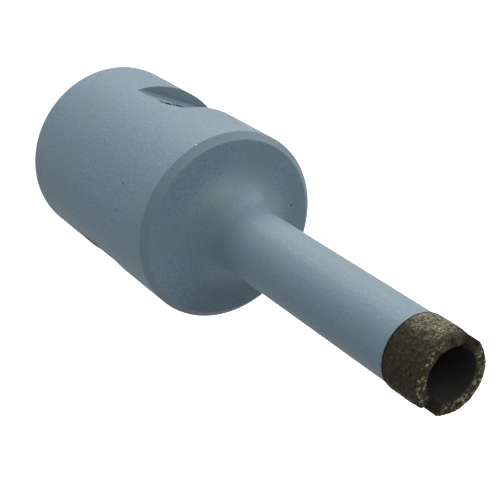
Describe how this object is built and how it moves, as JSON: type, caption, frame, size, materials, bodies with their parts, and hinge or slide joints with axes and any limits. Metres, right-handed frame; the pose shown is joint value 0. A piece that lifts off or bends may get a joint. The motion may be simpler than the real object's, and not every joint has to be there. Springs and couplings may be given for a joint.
{
  "type": "core bit",
  "caption": "Small diamond core bit: a round adapter body with a female spindle thread and wrench flats, a slim barrel and a slotted sintered crown.",
  "frame": {"origin": "centre of the seat face at the back of the adapter body", "axes": "+Z along the bit's axis towards the crown, +X square to a wrench flat"},
  "size_m": [0.028, 0.028, 0.0839],
  "materials": {
    "painted_steel": "satin grey-blue paint with a fine speckle",
    "sintered_diamond": "dull granular olive brown with pits and grit"
  },
  "bodies": {
    "root": {"steel_body": "painted_steel", "diamond_crown": "sintered_diamond"}
  },
  "joints": []
}
